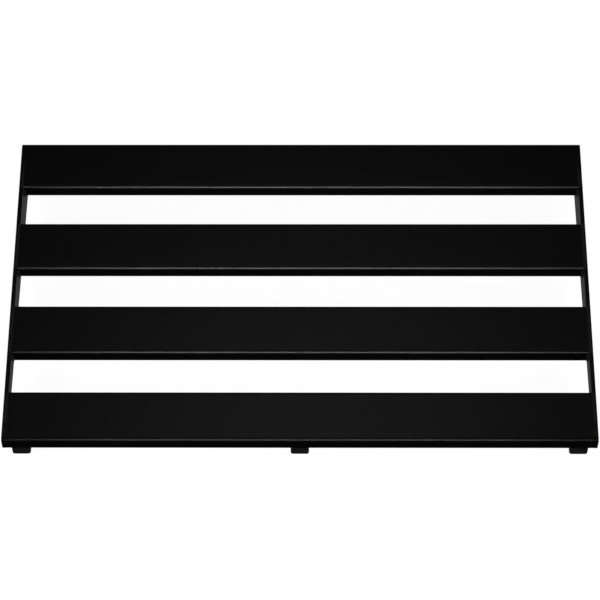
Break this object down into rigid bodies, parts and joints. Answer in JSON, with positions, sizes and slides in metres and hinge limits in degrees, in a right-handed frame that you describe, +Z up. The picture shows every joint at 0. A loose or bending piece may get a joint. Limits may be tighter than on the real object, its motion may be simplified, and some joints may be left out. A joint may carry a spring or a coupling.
{
  "type": "pedalboard",
  "caption": "Sloping welded aluminium pedalboard with flat wide rails between two side plates, black powder coat, on rubber feet.",
  "frame": {"origin": "centre of the footprint, on the surface that the feet stand on", "axes": "+X along the rails, to the player's right; +Y to the high back edge; +Z up"},
  "size_m": [0.61, 0.3694, 0.0603],
  "materials": {
    "powder_coat": "satin",
    "foot_rubber": "matte",
    "zinc_steel": "satin"
  },
  "bodies": {
    "root": {"front_rail": "powder_coat", "lower_middle_rail": "powder_coat", "upper_middle_rail": "powder_coat", "rear_rail": "powder_coat", "side_plate_left": "powder_coat", "side_plate_right": "powder_coat", "rail_welds_left": "powder_coat", "rail_welds_right": "powder_coat", "foot_tab_left": "powder_coat", "foot_tab_right": "powder_coat", "tab_weld_left": "powder_coat", "tab_weld_right": "powder_coat", "foot_front_left": "foot_rubber", "foot_front_middle": "foot_rubber", "foot_front_right": "foot_rubber", "foot_rear_left": "foot_rubber", "foot_rear_right": "foot_rubber", "foot_screws": "zinc_steel", "foot_washers": "zinc_steel", "rivet_nuts": "zinc_steel", "lock_nuts": "zinc_steel"}
  },
  "joints": []
}
